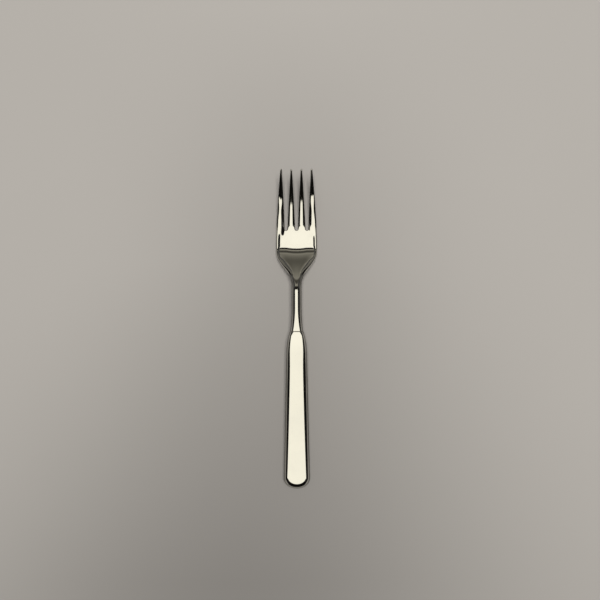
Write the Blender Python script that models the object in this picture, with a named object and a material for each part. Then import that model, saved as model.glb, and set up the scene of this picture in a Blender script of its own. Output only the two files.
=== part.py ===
# Fruit fork: a forged head with four tines, let into a hollow handle of two stamped half shells.
# Metres. The fork is modelled with its handle along Y, tines towards +Y and the joint between
# head and handle at y = 0, and is then laid on the table.

from math import acos, atan2, cos, radians, sin, sqrt, tan

import bmesh
import bpy
from mathutils import Matrix, Vector

# Head, plan view
HEAD_WIDTH = 0.0224              # across the palm
TIP_SPAN = 0.0168                # across the outer tines at their tips
TINE_LENGTH = 0.0313             # tip to slot root
TINE_TIP_WIDTH = 0.0009
INNER_TINE_ROOT_WIDTH = 0.0041
SLOT_ROOT_WIDTH = 0.0016
PALM_LENGTH = 0.0100             # slot root to the top of the shoulders
SHOULDER_LENGTH = 0.0206
NECK_LENGTH = 0.0236             # joint to the foot of the shoulders
NECK_WIDTH = 0.0053
TAPER_LEAD = 0.007               # the outer edges start to draw in this far before the slot roots
TAPER_POWER = 1.4
NOSE_LENGTH = 0.0008             # rounded end of a tine

# Head, side view
NECK_THICKNESS = 0.0042
PALM_THICKNESS = 0.0021
TINE_TIP_THICKNESS = 0.0008
NECK_FALL = radians(22)          # slope at the shoulders' foot, below the handle's line
SHOULDER_FALL = radians(30)      # slope of the shoulders next to the palm
PALM_FALL = radians(2.3)         # slope of the palm
NECK_BEND_LENGTH = 0.010
NECK_BEND_LEAD = 0.0045          # the bend starts this far before the shoulders
SHOULDER_BEND_LENGTH = 0.010     # from the end of the neck's bend
PALM_BEND_LENGTH = 0.0075
PALM_BEND_LAG = 0.00015          # the bend ends this far up the palm
PALM_BEND_BOW = 0.0012           # and this much later towards the palm's sides, inside its border
BOW_SHARE = 0.5                  # share of that bow which the palm reaches
TINE_CURVE_RADIUS = 0.070
TINE_CURVE_LEAD = 0.0074         # the upward curve starts this far before the slot roots
DISH_DEPTH = 0.0009              # rise of the palm's sides above its middle
RIM_RISE = 0.00012               # extra thickness of the border round shoulders and palm
RIM_CREST = 0.0010               # from the outline to the border's crest
RIM_WIDTH = 0.0013               # crest to the flat inside it
TINE_RIM_CREST = 0.0023          # the same two on the outer tines
TINE_RIM_WIDTH = 0.0023
RIM_TURN_LEAD = 0.0055           # the border starts to widen this far before the slot roots
RIM_TURN_LENGTH = 0.0048
RIM_FADE_LENGTH = 0.020          # its extra thickness runs out this far up the tines
BACK_REST_WIDTH = 0.006          # the fork lies on two lines this far apart on the palm's back
BACK_HOLLOW = 0.0001             # hollow between them
BACK_HOLLOW_RUN = 0.007          # it runs out this far up and down from the start of the palm
HEAD_EDGE = 0.0011               # rounded outer edge of palm and shoulders
NECK_EDGE = 0.0022
SLOT_EDGE = 0.0004               # round the slots' roots
TINE_EDGE = 0.0016
TINE_EDGE_RUN = 0.0026           # over which the one edge goes over into the other
TINE_EDGE_SHARE = 0.36           # a rounded edge takes at most this share of a tine's width

# Bolster and tang
BOLSTER_LENGTH = 0.013           # flare from neck to joint
BOLSTER_STEP = 0.0002            # the bolster's end stands in from the handle's mouth
BOLSTER_EDGE = 0.0018
TANG_LENGTH = 0.030
TANG_WIDTH = 0.0034
TANG_THICKNESS = 0.0018
TANG_TAPER = 0.0005              # taken off each side at the tang's end
TANG_EDGE = 0.0004

# Handle
HANDLE_LENGTH = 0.0853
MOUTH_WIDTH = 0.0073
MOUTH_THICKNESS = 0.0048
ROOT_WIDTH = 0.0105              # width of the straight taper, carried up to the mouth
ROOT_THICKNESS = 0.0058
BUTT_WIDTH = 0.0142
BUTT_THICKNESS = 0.0068
BUTT_LENGTH = 0.0055             # length of the rounded end
BUTT_FACE_LEAD = 0.0014          # the flat face starts to close this far before it
HANDLE_SHOULDER = 0.012          # length over which the handle swells from its mouth
ROOT_EDGE = 0.0015               # rounded edge at the mouth, without its bevelled corners
CORNER_EDGE = 0.0008             # what the corners add to it
CORNER_LENGTH = 0.0028
HANDLE_EDGE = 0.0031             # widest rounded edge, this far from the mouth:
EDGE_SWELL_LENGTH = 0.026
BUTT_EDGE = 0.0024               # at the butt's sides
BUTT_ROUND = 0.0033              # at its very end
WALL = 0.0008

# Joining
FIT_GAP = 0.0002                 # clear gap left between neighbouring pieces
SEAM_THICKNESS = 0.0002
MOUTH_BRAZE_THICKNESS = 0.0002
BRAZE_RECESS = 0.0002            # braze lies this far under the outside
FILLER_SETBACK = 0.0025          # joint to the start of the filler

# Facets
EDGE_STEPS = 5                   # face to parting line of a rounded edge
SLOT_ARC_STEPS = 4               # round a slot's root
TINE_PLACES = 5                  # points across a tine's face
TINE_STEPS = 9
SHOULDER_STEPS = 15
NECK_STEPS = 9
FLARE_STEPS = 6
HANDLE_STEPS = 6
BUTT_STEPS = 10                  # across the handle's face and round its end
CLOSING_STEPS = 2                # along the stretch where the face starts to close
LOFT_SHARE = 0.3                 # share of the shoulders that is lofted with the neck

SHOULDER_START = NECK_LENGTH
PALM_START = SHOULDER_START + SHOULDER_LENGTH
SLOT_ROOT = PALM_START + PALM_LENGTH
TIP = SLOT_ROOT + TINE_LENGTH
SLOT_CENTRE = SLOT_ROOT + SLOT_ROOT_WIDTH / 2
JOINT_GAP = MOUTH_BRAZE_THICKNESS / 2 + FIT_GAP   # head and shells stop this far from the joint
SHELL_RIM = SEAM_THICKNESS / 2 + FIT_GAP
TIP_PITCH = (TIP_SPAN - TINE_TIP_WIDTH) / 3
END_START = HANDLE_LENGTH - BUTT_LENGTH           # where the outline's rounded end starts
FACE_END = END_START - BUTT_FACE_LEAD             # where the flat face starts to close
FACE_REACH = BUTT_FACE_LEAD + BUTT_LENGTH - BUTT_ROUND


def clear_scene():
    for obj in list(bpy.data.objects):
        bpy.data.objects.remove(obj, do_unlink=True)


def ease(t):
    # Smooth step from 0 to 1 with no slope or curvature at either end
    t = min(max(t, 0.0), 1.0)
    return t * t * t * (t * (6 * t - 15) + 10)


def bend(y, start, length):
    # Rise along a line whose slope goes smoothly from 0 to 1 between start and start + length
    t = min(max((y - start) / length, 0.0), 1.0)
    return length * t ** 3 * (1 - t / 2) + max(y - start - length, 0.0)


def tight_bend(y, start, length):
    # The same, but the slope grows slowly at first and fastest at the end
    t = min(max((y - start) / length, 0.0), 1.0)
    return length * t ** 3 / 3 + max(y - start - length, 0.0)


def mix(a, b, t):
    return a + (b - a) * t


# Shape of the head

def spine(y, bow):
    # Height of the head's middle plane along its centre line. The bow moves the bend into the palm.
    neck_bend = SHOULDER_START - NECK_BEND_LEAD
    palm_bend = PALM_START + PALM_BEND_LAG - PALM_BEND_LENGTH
    neck_fall, shoulder_fall, palm_fall = tan(NECK_FALL), tan(SHOULDER_FALL), tan(PALM_FALL)
    z = -neck_fall * bend(y, neck_bend, NECK_BEND_LENGTH)
    z -= (shoulder_fall - neck_fall) * bend(y, neck_bend + NECK_BEND_LENGTH, SHOULDER_BEND_LENGTH)
    z += (shoulder_fall - palm_fall) * tight_bend(y - bow, palm_bend, PALM_BEND_LENGTH)
    along = max(y - SLOT_ROOT + TINE_CURVE_LEAD, 0.0)
    return z + TINE_CURVE_RADIUS - sqrt(TINE_CURVE_RADIUS ** 2 - along ** 2)


def flare(y):
    # 1 at the joint, 0 where the bolster has run out into the neck
    return (1 - min(y / BOLSTER_LENGTH, 1.0)) ** 2


def shoulder(y):
    return ease((y - SHOULDER_START) / SHOULDER_LENGTH)


def half_width(y):
    bolster = MOUTH_WIDTH / 2 - BOLSTER_STEP
    neck = mix(NECK_WIDTH / 2, bolster, flare(y))
    taper_start = SLOT_ROOT - TAPER_LEAD
    taper = max(y - taper_start, 0.0) / (TIP - taper_start)
    palm = mix(HEAD_WIDTH / 2, TIP_SPAN / 2, taper ** TAPER_POWER)
    return mix(neck, palm, shoulder(y))


def half_thickness(y):
    bolster = MOUTH_THICKNESS / 2 - BOLSTER_STEP
    neck = mix(NECK_THICKNESS / 2, bolster, flare(y))
    along_tine = max(y - SLOT_ROOT, 0.0) / TINE_LENGTH
    palm = mix(PALM_THICKNESS, TINE_TIP_THICKNESS, along_tine) / 2
    return mix(neck, palm, shoulder(y))


def head_edge(y):
    neck = mix(NECK_EDGE, BOLSTER_EDGE, flare(y))
    return mix(neck, HEAD_EDGE, shoulder(y))


def border(x, y):
    # 1 on the raised border of shoulders and palm, 0 inside it. It widens into the outer tines.
    widening = ease((y - SLOT_ROOT + RIM_TURN_LEAD) / RIM_TURN_LENGTH)
    crest = mix(RIM_CREST, TINE_RIM_CREST, widening)
    width = mix(RIM_WIDTH, TINE_RIM_WIDTH, widening)
    return ease(1 - (half_width(y) - abs(x) - crest) / width)


def middle(x, y):
    # Height of the head's middle plane. The bow of the bend sinks the palm below its border.
    side = shoulder(y) * (x / half_width(y)) ** 2
    bow = PALM_BEND_BOW * min(side, BOW_SHARE) * (1 - border(x, y))
    return spine(y, bow) + DISH_DEPTH * side


def rim(x, y):
    fade = 1 - ease((y - SLOT_ROOT) / RIM_FADE_LENGTH)
    return RIM_RISE * shoulder(y) * fade * border(x, y)


def back_hollow(x, y):
    # Without it the rounded back would touch the table along its middle only, and rock
    near = 1 - ease(abs(y - PALM_START) / BACK_HOLLOW_RUN)
    return BACK_HOLLOW * near * max(1 - (2 * x / BACK_REST_WIDTH) ** 2, 0.0)


def upper_face(x, y, fall):
    return middle(x, y) + (half_thickness(y) + rim(x, y)) * fall


def lower_face(x, y, fall):
    return middle(x, y) - (half_thickness(y) - back_hollow(x, y)) * fall


def slot_edges(slot, y):
    # Left and right edge of a slot, which is -1, 0 or 1 from left to right
    t = (y - SLOT_CENTRE) / (TIP - SLOT_CENTRE)
    centre = slot * mix(SLOT_ROOT_WIDTH + INNER_TINE_ROOT_WIDTH, TIP_PITCH, t)
    half = mix(SLOT_ROOT_WIDTH, TIP_PITCH - TINE_TIP_WIDTH, t) / 2
    return centre - half, centre + half


def slot_arc(slot, radius):
    # Points round a slot's root from left to right, between the ends of the half circle
    centre = sum(slot_edges(slot, SLOT_CENTRE)) / 2
    angles = [radians(180) * (1 + step / SLOT_ARC_STEPS) for step in range(1, SLOT_ARC_STEPS)]
    return [(centre + radius * cos(angle), SLOT_CENTRE + radius * sin(angle)) for angle in angles]


def tine_edges(tine, y):
    # Left and right edge of a tine, counted 0 to 3 from left to right
    left = -half_width(y) if tine == 0 else slot_edges(tine - 2, y)[1]
    right = half_width(y) if tine == 3 else slot_edges(tine - 1, y)[0]
    return left, right


def tine_face(tine, y):
    # Points from left to right across a tine's flat face
    left, right = tine_edges(tine, y)
    limit = TINE_EDGE_SHARE * (right - left)
    slot_edge = mix(SLOT_EDGE, TINE_EDGE, ease((y - SLOT_CENTRE) / TINE_EDGE_RUN))
    left += min(HEAD_EDGE if tine == 0 else slot_edge, limit)
    right -= min(HEAD_EDGE if tine == 3 else slot_edge, limit)
    return [mix(left, right, place / (TINE_PLACES - 1)) for place in range(TINE_PLACES)]


# A sheet is the flat part of a face in plan: named points, the cells between them, and the chain of
# border points, each with the point on the outline that its rounded edge runs out to.

def head_sheet(sheet_start):
    points, cells, chain = {}, [], []

    # The row across the slot roots: every tine's foot and every slot's arc
    root_row = []
    for tine in range(4):
        for place, x in enumerate(tine_face(tine, SLOT_CENTRE)):
            root_row.append(("tine", tine, place, 0))
            points[root_row[-1]] = (x, SLOT_CENTRE)
        if tine < 3:
            for n, point in enumerate(slot_arc(tine - 1, SLOT_ROOT_WIDTH / 2 + SLOT_EDGE)):
                root_row.append(("arc", tine, n))
                points[root_row[-1]] = point

    # Palm and shoulder rows, from just below the slot roots down to the neck
    rows = [root_row]
    reach = points[root_row[-1]][0]
    for step in range(SHOULDER_STEPS + 1):
        y = mix(SLOT_ROOT - 2 * SLOT_EDGE, sheet_start, step / SHOULDER_STEPS)
        flat = half_width(y) - head_edge(y)
        row = []
        for column, key in enumerate(root_row):
            row.append(("palm", step, column))
            points[row[-1]] = (points[key][0] / reach * flat, y)
        rows.append(row)
    for upper, lower in zip(rows, rows[1:]):
        for n in range(len(root_row) - 1):
            cells.append((upper[n], upper[n + 1], lower[n + 1], lower[n]))

    # Tines, and the chain: up the left side, round every tine and slot, and down the right side
    palm_rows = [(row, points[row[0]][1]) for row in rows[1:]]
    chain += [(row[0], (-half_width(y), y)) for row, y in reversed(palm_rows)]
    nose_start = TIP - NOSE_LENGTH
    for tine in range(4):
        heights = [mix(SLOT_CENTRE, nose_start, step / TINE_STEPS) for step in range(TINE_STEPS + 1)]
        for step, y in enumerate(heights):
            for place, x in enumerate(tine_face(tine, y)):
                points["tine", tine, place, step] = (x, y)
        for step in range(TINE_STEPS):
            for place in range(TINE_PLACES - 1):
                corners = ((place, step), (place + 1, step), (place + 1, step + 1), (place, step + 1))
                cells.append([("tine", tine, *corner) for corner in corners])

        left_side, right_side, nose = [], [], []
        for step, y in enumerate(heights):
            left, right = tine_edges(tine, y)
            left_side.append((("tine", tine, 0, step), (left, y)))
            right_side.append((("tine", tine, TINE_PLACES - 1, step), (right, y)))
        for place in range(TINE_PLACES):
            angle = radians(180) * (1 - (place + 1) / (TINE_PLACES + 1))
            x = mix(left, right, (1 + cos(angle)) / 2)
            nose.append((("tine", tine, place, TINE_STEPS), (x, nose_start + NOSE_LENGTH * sin(angle))))
        chain += left_side + nose + right_side[::-1]
        if tine < 3:
            arc = slot_arc(tine - 1, SLOT_ROOT_WIDTH / 2)
            chain += [(("arc", tine, n), point) for n, point in enumerate(arc)]
    chain += [(row[-1], (half_width(y), y)) for row, y in palm_rows]
    return points, cells, chain


# Shape of the handle, at a distance along it from the joint

def swell(along):
    # 1 at the mouth, 0 where the handle has swollen to its straight taper
    return (1 - min(along / HANDLE_SHOULDER, 1.0)) ** 2


def handle_half_width(along):
    taper = mix(ROOT_WIDTH, BUTT_WIDTH, along / END_START)
    return (taper - (ROOT_WIDTH - MOUTH_WIDTH) * swell(along)) / 2


def handle_half_thickness(along):
    taper = mix(ROOT_THICKNESS, BUTT_THICKNESS, along / HANDLE_LENGTH)
    return (taper - (ROOT_THICKNESS - MOUTH_THICKNESS) * swell(along)) / 2


def handle_edge(along):
    # Narrow at the mouth but for its corners, widest near the middle, and narrower at the butt
    if along > EDGE_SWELL_LENGTH:
        past = (along - EDGE_SWELL_LENGTH) / (HANDLE_LENGTH - EDGE_SWELL_LENGTH)
        return mix(HANDLE_EDGE, BUTT_EDGE, past ** 2)
    corner = CORNER_EDGE * (1 - min(along / CORNER_LENGTH, 1.0)) ** 2
    return corner + mix(HANDLE_EDGE, ROOT_EDGE, (1 - along / EDGE_SWELL_LENGTH) ** 2)


def face_half_width(along):
    # The flat face closes to the end of an ellipse at the butt
    closing = max(along - FACE_END, 0.0) / FACE_REACH
    return (handle_half_width(along) - handle_edge(along)) * sqrt(1 - closing ** 2)


def handle_sheet(inset, start):
    # Face of the handle, whose edges run out to an outline that lies inset inside the handle's own
    points, cells, chain = {}, [], []
    shares = [2 * n / BUTT_STEPS - 1 for n in range(BUTT_STEPS + 1)]

    stations = [mix(start, HANDLE_SHOULDER, (n / HANDLE_STEPS) ** 2) for n in range(HANDLE_STEPS)]
    stations += [mix(HANDLE_SHOULDER, FACE_END, n / HANDLE_STEPS) for n in range(HANDLE_STEPS)]
    stations += [mix(FACE_END, END_START, n / CLOSING_STEPS) for n in range(CLOSING_STEPS + 1)]
    rows = []
    for along in stations:
        flat = face_half_width(along)
        row = []
        for n, share in enumerate(shares):
            points["face", along, n] = (share * flat, -along)
            row.append(("face", along, n))
        rows.append(row)

    # The end row is the end of the ellipse, with one row halfway to it
    flat = face_half_width(END_START)
    widest = acos(BUTT_FACE_LEAD / FACE_REACH)
    for depth in (0.5, 1.0):
        row = [rows[len(stations) - 1][0]]
        for n, share in enumerate(shares[1:-1], start=1):
            angle = widest * share
            x = mix(share, sin(angle) / sin(widest), depth) * flat
            points["end", depth, n] = (x, -mix(END_START, FACE_END + FACE_REACH * cos(angle), depth))
            row.append(("end", depth, n))
        row.append(rows[len(stations) - 1][-1])
        rows.append(row)
    for upper, lower in zip(rows, rows[1:]):
        for n in range(BUTT_STEPS):
            cells.append((upper[n], upper[n + 1], lower[n + 1], lower[n]))

    sides = [(handle_half_width(along) - inset, -along) for along in stations]
    chain += [(row[0], (-x, y)) for row, (x, y) in zip(rows, sides)]
    for n, share in enumerate(shares[1:-1], start=1):
        angle = radians(90) * share
        x = (handle_half_width(END_START) - inset) * sin(angle)
        y = -END_START - (BUTT_LENGTH - inset) * cos(angle)
        chain.append((rows[-1][n], (x, y)))
    chain += [(row[-1], side) for row, side in reversed(list(zip(rows, sides)))]
    return points, cells, chain, rows[0]


# Mesh building

def add_face(bm, corners):
    corners = list(dict.fromkeys(corners))
    if len(corners) > 2:
        bm.faces.new(corners)


def add_half_skin(bm, points, cells, chain, height):
    # The face and the rounded edges that run down from it to the outline.
    # height(x, y, fall) is the height there: fall is 1 on the face and 0 at the outline.
    verts = {}
    for key, (x, y) in points.items():
        verts[key] = bm.verts.new((x, y, height(x, y, 1.0)))
    for cell in cells:
        add_face(bm, [verts[key] for key in cell])

    strips = []
    for key, outer in chain:
        inner = points[key]
        strip = [verts[key]]
        for step in range(1, EDGE_STEPS + 1):
            angle = radians(90) * step / EDGE_STEPS
            x = mix(inner[0], outer[0], sin(angle))
            y = mix(inner[1], outer[1], sin(angle))
            strip.append(bm.verts.new((x, y, height(x, y, cos(angle)))))
        strips.append(strip)
    for strip, after in zip(strips, strips[1:]):
        for n in range(EDGE_STEPS):
            add_face(bm, (strip[n], strip[n + 1], after[n + 1], after[n]))
    return verts, strips


def section_loop(half_w, half_t, edge):
    # Cross-section with flat faces and round sides, as x and height above its middle
    loop = []
    for side in (1, -1):
        for step in range(2 * EDGE_STEPS + 1):
            angle = side * radians(90) * (1 - step / EDGE_STEPS)
            loop.append((side * (half_w - edge + edge * cos(angle)), half_t * sin(angle)))
    return loop


def add_loop(bm, loop, y, height):
    return [bm.verts.new((x, y, z + height(x, y))) for x, z in loop]


def join_loops(bm, loop, after):
    for n in range(len(loop)):
        add_face(bm, (loop[n - 1], loop[n], after[n], after[n - 1]))


def finish_object(name, bm, parent, material=None):
    bmesh.ops.recalc_face_normals(bm, faces=bm.faces)
    mesh = bpy.data.meshes.new(name)
    bm.to_mesh(mesh)
    bm.free()
    mesh.shade_smooth()
    mesh.set_sharp_from_angle(angle=radians(40))
    if material:
        mesh.materials.append(material)
    obj = bpy.data.objects.new(name, mesh)
    bpy.context.collection.objects.link(obj)
    obj.parent = parent
    return obj


def make_material(name, colour, metallic, roughness):
    material = bpy.data.materials.new(name)
    material.use_nodes = True
    shader = material.node_tree.nodes["Principled BSDF"]
    shader.inputs["Base Color"].default_value = (*colour, 1.0)
    shader.inputs["Metallic"].default_value = metallic
    shader.inputs["Roughness"].default_value = roughness
    return material


# Pieces

def make_fork_head(material, parent):
    bm = bmesh.new()

    # Tines, palm and shoulders, as a top and a bottom skin that meet at the outline
    sheet_start = SHOULDER_START + LOFT_SHARE * SHOULDER_LENGTH
    sheet = head_sheet(sheet_start)
    add_half_skin(bm, *sheet, upper_face)
    add_half_skin(bm, *sheet, lower_face)
    bmesh.ops.remove_doubles(bm, verts=bm.verts, dist=1e-7)

    # Tang, bolster and neck, as one tube of cross-sections
    tang_root = section_loop(TANG_WIDTH / 2, TANG_THICKNESS / 2, TANG_EDGE)
    tang_end = section_loop(TANG_WIDTH / 2 - TANG_TAPER, TANG_THICKNESS / 2 - TANG_TAPER / 2, TANG_EDGE)
    loops = [add_loop(bm, tang_end, -TANG_LENGTH, middle)]
    loops.append(add_loop(bm, tang_root, JOINT_GAP, middle))
    stations = [mix(JOINT_GAP, BOLSTER_LENGTH, n / FLARE_STEPS) for n in range(FLARE_STEPS)]
    neck_end = sheet_start - PALM_LENGTH / SHOULDER_STEPS
    stations += [mix(BOLSTER_LENGTH, neck_end, n / NECK_STEPS) for n in range(NECK_STEPS + 1)]
    for y in stations:
        loop = section_loop(half_width(y), half_thickness(y), head_edge(y))
        loops.append(add_loop(bm, loop, y, middle))
    for loop, after in zip(loops, loops[1:]):
        join_loops(bm, loop, after)
    bm.faces.new(loops[0])

    # Only the shoulder's and the neck's open ends are left, and are joined here
    bmesh.ops.bridge_loops(bm, edges=[edge for edge in bm.edges if edge.is_boundary])
    return finish_object("fork_head", bm, parent, material)


def make_half_shell(name, side, material, parent):
    bm = bmesh.new()
    skins = []
    for inset in (0.0, WALL):
        def height(x, y, fall):
            crown = handle_half_thickness(-y) - inset
            return side * mix(SHELL_RIM, crown, fall)

        points, cells, chain, mouth_row = handle_sheet(inset, JOINT_GAP)
        verts, strips = add_half_skin(bm, points, cells, chain, height)
        rim = [strip[-1] for strip in strips]
        mouth = strips[-1][::-1] + [verts[key] for key in mouth_row[-2:0:-1]] + strips[0]
        skins.append((rim, mouth))

    # Rim along the parting line, and the open mouth
    (outer_rim, outer_mouth), (inner_rim, inner_mouth) = skins
    for outer, inner in ((outer_rim, inner_rim), (outer_mouth, inner_mouth)):
        for n in range(len(outer) - 1):
            add_face(bm, (outer[n], outer[n + 1], inner[n + 1], inner[n]))
    return finish_object(name, bm, parent, material)


def make_seam_braze(material, parent):
    # Flat strip along the parting line, from one side of the mouth round the butt to the other
    bm = bmesh.new()
    outer = [point for key, point in handle_sheet(BRAZE_RECESS, JOINT_GAP)[2]]
    inner = [point for key, point in handle_sheet(WALL, JOINT_GAP)[2]]
    half = SEAM_THICKNESS / 2
    loops = []
    for (outer_x, outer_y), (inner_x, inner_y) in zip(outer, inner):
        corners = (
            (outer_x, outer_y, half),
            (outer_x, outer_y, -half),
            (inner_x, inner_y, -half),
            (inner_x, inner_y, half),
        )
        loops.append([bm.verts.new(corner) for corner in corners])
    for loop, after in zip(loops, loops[1:]):
        join_loops(bm, loop, after)
    bm.faces.new(loops[0])
    bm.faces.new(loops[-1])
    return finish_object("seam_braze", bm, parent, material)


def make_mouth_braze(material, parent):
    # Ring between the bolster's end and the mouth of the handle
    bm = bmesh.new()
    rings = []
    for inset in (BRAZE_RECESS, WALL):
        edge = handle_edge(0.0) - inset
        loop = section_loop(MOUTH_WIDTH / 2 - inset, MOUTH_THICKNESS / 2 - inset, edge)
        for side in (1, -1):
            rings.append(add_loop(bm, loop, side * MOUTH_BRAZE_THICKNESS / 2, lambda x, y: 0.0))
    outer_front, outer_back, inner_front, inner_back = rings
    for ring, after in (
        (outer_front, outer_back),
        (outer_back, inner_back),
        (inner_back, inner_front),
        (inner_front, outer_front),
    ):
        join_loops(bm, ring, after)
    return finish_object("mouth_braze", bm, parent, material)


def make_tang_pocket(parent):
    # Cutter for the hole that the tang leaves in the filler
    depth = TANG_LENGTH + FIT_GAP - FILLER_SETBACK / 2
    bm = bmesh.new()
    size = (TANG_WIDTH + 2 * FIT_GAP, depth, TANG_THICKNESS + 2 * FIT_GAP)
    place = Matrix.Translation((0.0, -FILLER_SETBACK / 2 - depth / 2, 0.0))
    bmesh.ops.create_cube(bm, size=1.0, matrix=place @ Matrix.Diagonal((*size, 1.0)))
    cutter = finish_object("tang_pocket", bm, parent)
    cutter.hide_render = True
    cutter.display_type = "WIRE"
    return cutter


def make_handle_filler(material, parent):
    bm = bmesh.new()
    inset = WALL + FIT_GAP
    points, cells, chain, mouth_row = handle_sheet(inset, FILLER_SETBACK)
    for side in (1, -1):
        def height(x, y, fall):
            return side * (handle_half_thickness(-y) - inset) * fall

        add_half_skin(bm, points, cells, chain, height)
    bmesh.ops.remove_doubles(bm, verts=bm.verts, dist=1e-7)
    bmesh.ops.holes_fill(bm, edges=[edge for edge in bm.edges if edge.is_boundary])
    filler = finish_object("handle_filler", bm, parent, material)

    pocket = filler.modifiers.new("tang pocket", "BOOLEAN")
    pocket.operation = "DIFFERENCE"
    pocket.solver = "EXACT"
    pocket.object = make_tang_pocket(parent)
    return filler


def lay_on_table(fork, pieces):
    # Turn the fork about X until palm and butt touch one plane, and put its box's bottom centre
    # on the world's origin
    points = [vertex.co for piece in pieces for vertex in piece.data.vertices]
    tilt = 0.0
    for turn in range(6):
        turned = [Matrix.Rotation(tilt, 3, "X") @ point for point in points]
        palm = min((point for point in turned if point.y > 0), key=lambda point: point.z)
        butt = min((point for point in turned if point.y < 0), key=lambda point: point.z)
        tilt -= atan2(palm.z - butt.z, palm.y - butt.y)

    turned = [Matrix.Rotation(tilt, 3, "X") @ point for point in points]
    lows = [min(point[axis] for point in turned) for axis in range(3)]
    highs = [max(point[axis] for point in turned) for axis in range(3)]
    fork.rotation_euler.x = tilt
    fork.location = Vector((-(lows[0] + highs[0]) / 2, -(lows[1] + highs[1]) / 2, -lows[2]))


def build():
    clear_scene()
    fork = bpy.data.objects.new("fork", None)
    bpy.context.collection.objects.link(fork)

    steel = (0.80, 0.79, 0.75)
    head_steel = make_material("head steel", steel, 1.0, 0.08)
    front_steel = make_material("front shell steel", steel, 1.0, 0.08)
    back_steel = make_material("back shell steel", steel, 1.0, 0.10)
    seam_metal = make_material("seam braze", (0.62, 0.60, 0.56), 1.0, 0.30)
    mouth_metal = make_material("mouth braze", (0.45, 0.43, 0.40), 1.0, 0.40)
    cement = make_material("handle cement", (0.52, 0.50, 0.46), 0.0, 0.90)

    pieces = [
        make_fork_head(head_steel, fork),
        make_half_shell("handle_front_shell", 1, front_steel, fork),
        make_half_shell("handle_back_shell", -1, back_steel, fork),
        make_seam_braze(seam_metal, fork),
        make_mouth_braze(mouth_metal, fork),
        make_handle_filler(cement, fork),
    ]
    lay_on_table(fork, pieces)


build()
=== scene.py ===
from math import acos, atan, cos, degrees, radians, sin, sqrt, tan

import bmesh
import bpy
from mathutils import Matrix


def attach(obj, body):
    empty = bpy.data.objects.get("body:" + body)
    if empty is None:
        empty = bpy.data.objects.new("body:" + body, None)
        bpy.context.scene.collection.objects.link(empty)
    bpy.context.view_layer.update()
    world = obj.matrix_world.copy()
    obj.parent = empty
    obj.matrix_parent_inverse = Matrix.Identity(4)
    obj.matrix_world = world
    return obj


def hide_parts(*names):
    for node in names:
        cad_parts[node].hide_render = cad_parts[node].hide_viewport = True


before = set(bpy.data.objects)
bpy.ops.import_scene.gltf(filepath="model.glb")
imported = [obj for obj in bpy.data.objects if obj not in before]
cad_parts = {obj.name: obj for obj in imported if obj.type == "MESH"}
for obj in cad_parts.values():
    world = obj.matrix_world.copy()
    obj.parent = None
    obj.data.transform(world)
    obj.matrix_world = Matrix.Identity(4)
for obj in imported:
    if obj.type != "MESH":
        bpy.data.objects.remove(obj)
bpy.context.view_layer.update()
scene = bpy.context.scene
print("frame:", ", ".join(sorted(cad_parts)))


# Shader maths: a node socket that takes Python's operators

class Wire:
    def __init__(self, tree, socket=None):
        self.tree = tree
        self.socket = socket

    def add(self, kind, settings=None, inputs=None, out=0):
        node = self.tree.nodes.new(kind)
        for name, value in (settings or {}).items():
            if name == "stops":
                ramp = node.color_ramp.elements
                while len(ramp) < len(value):
                    ramp.new(1.0)
                for element, (position, colour) in zip(ramp, value):
                    element.position = position
                    element.color = (*colour, 1.0)
            else:
                setattr(node, name, value)
        for name, value in (inputs or {}).items():
            if isinstance(value, Wire):
                self.tree.links.new(value.socket, node.inputs[name])
            else:
                node.inputs[name].default_value = value
        return Wire(self.tree, node.outputs[out] if node.outputs else None)

    def maths(self, operation, first, second=0.0):
        return self.add("ShaderNodeMath", {"operation": operation}, {0: first, 1: second})

    def __add__(self, other):
        return self.maths("ADD", self, other)

    def __sub__(self, other):
        return self.maths("SUBTRACT", self, other)

    def __rsub__(self, other):
        return self.maths("SUBTRACT", other, self)

    def __mul__(self, other):
        return self.maths("MULTIPLY", self, other)

    def __truediv__(self, other):
        return self.maths("DIVIDE", self, other)

    def __rtruediv__(self, other):
        return self.maths("DIVIDE", other, self)

    def __neg__(self):
        return 0.0 - self

    __radd__ = __add__
    __rmul__ = __mul__

    def step(self, low, high):
        # 0 below low, 1 above high, smooth between
        settings = {"interpolation_type": "SMOOTHSTEP"}
        return self.add("ShaderNodeMapRange", settings, {"Value": self, "From Min": low, "From Max": high})

    def blend(self, first, second):
        # a colour that goes from first to second with this value
        return self.add("ShaderNodeMix", {"data_type": "RGBA"}, {"Factor": self, 6: first, 7: second}, 2)

    def noise(self, scale, detail=3.0, stretch=(1.0, 1.0, 1.0), turn=0.0, grain=0.6):
        # noise on this vector; stretch scales its axes, turn is about Z in degrees
        inputs = {"Vector": self, "Scale": stretch, "Rotation": (0.0, 0.0, radians(turn))}
        placed = self.add("ShaderNodeMapping", {}, inputs)
        inputs = {"Vector": placed, "Scale": scale, "Detail": detail, "Roughness": grain}
        return self.add("ShaderNodeTexNoise", {}, inputs)


def rgba(colour, share=1.0):
    return tuple(share * c for c in colour) + (1.0,)


def newMaterial(name):
    material = bpy.data.materials.new(name)
    material.use_nodes = True
    material.node_tree.nodes.clear()
    return material, Wire(material.node_tree)


# Polished steel

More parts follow.
